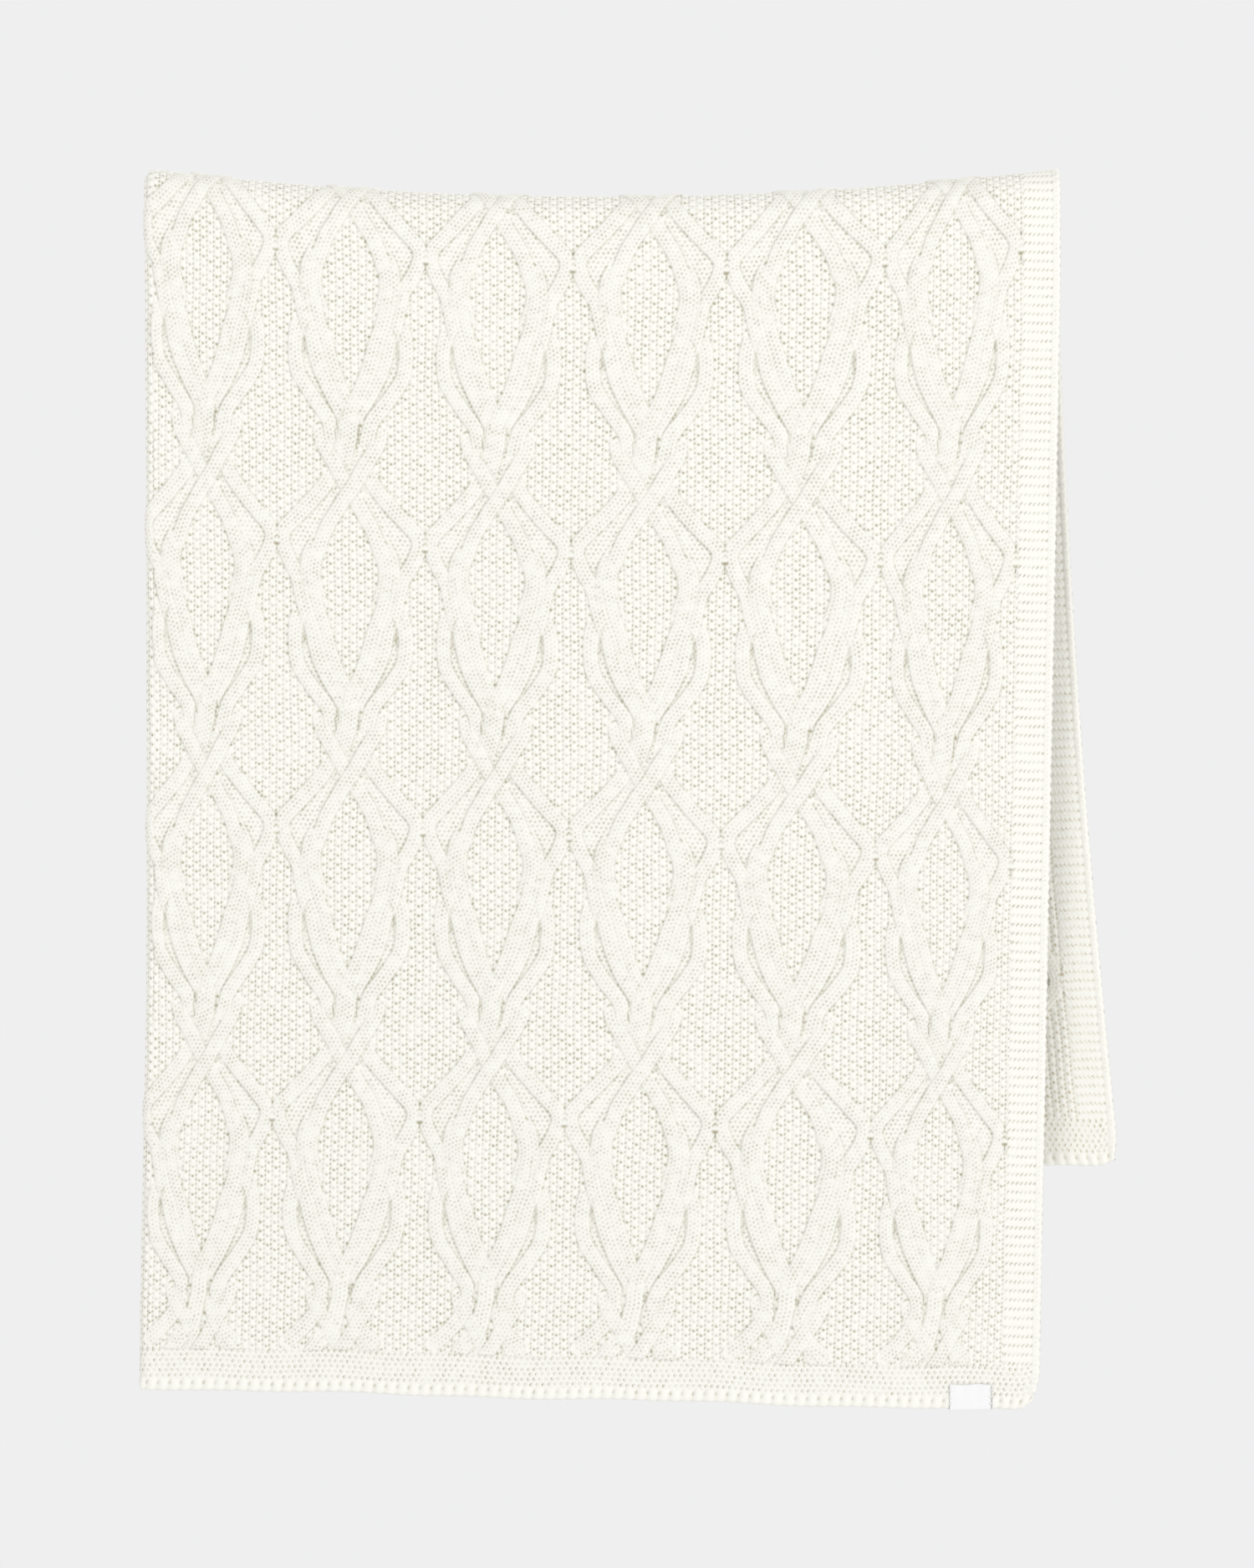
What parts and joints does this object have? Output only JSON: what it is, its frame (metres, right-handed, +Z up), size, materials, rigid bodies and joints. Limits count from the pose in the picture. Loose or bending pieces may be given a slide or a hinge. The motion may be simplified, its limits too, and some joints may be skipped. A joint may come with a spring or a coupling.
{
  "type": "folded throw blanket",
  "caption": "Cream cable-knit cotton throw, folded lengthwise and hung over a slim rail, with flaps that swing and a woven hem label.",
  "frame": {"origin": "on the axis of the rail that the throw hangs over, half-way along its saddle", "axes": "+X along the rail from the lengthwise fold to the selvedges, +Y from the front flap to the back flap, +Z up"},
  "size_m": [0.43, 0.0316, 0.5462],
  "materials": {
    "cable_knit": "matte",
    "garter_knit": "matte",
    "knit_edge": "matte",
    "label_tape": "satin",
    "sewing_thread": "matte"
  },
  "bodies": {
    "top_fold": {"outer_crest_panel": "cable_knit", "outer_crest_band": "garter_knit", "outer_crest_selvedge": "knit_edge", "inner_crest_panel": "cable_knit", "inner_crest_band": "garter_knit", "inner_crest_selvedge": "knit_edge", "crest_side_fold": "cable_knit"},
    "front_drop": {"outer_front_panel": "cable_knit", "outer_front_band": "garter_knit", "outer_front_selvedge": "knit_edge", "outer_front_hem": "garter_knit", "outer_cast_on_edge": "knit_edge", "inner_front_panel": "cable_knit", "inner_front_band": "garter_knit", "inner_front_selvedge": "knit_edge", "inner_front_hem": "garter_knit", "inner_cast_on_edge": "knit_edge", "front_side_fold": "cable_knit", "woven_label": "label_tape", "label_stitches": "sewing_thread"},
    "back_drop": {"outer_back_panel": "cable_knit", "outer_back_band": "garter_knit", "outer_back_selvedge": "knit_edge", "outer_back_hem": "garter_knit", "outer_cast_off_edge": "knit_edge", "inner_back_panel": "cable_knit", "inner_back_band": "garter_knit", "inner_back_selvedge": "knit_edge", "inner_back_hem": "garter_knit", "inner_cast_off_edge": "knit_edge", "back_side_fold": "cable_knit"}
  },
  "joints": [
    {"name": "front_swing", "type": "hinge", "parent": "top_fold", "child": "front_drop", "pos_m": [0, -0.0154, -0.0204], "axis": [-1, 0, 0], "range_deg": [0, 90]},
    {"name": "back_swing", "type": "hinge", "parent": "top_fold", "child": "back_drop", "pos_m": [0, 0.0154, -0.0204], "axis": [1, 0, 0], "range_deg": [0, 90]}
  ]
}
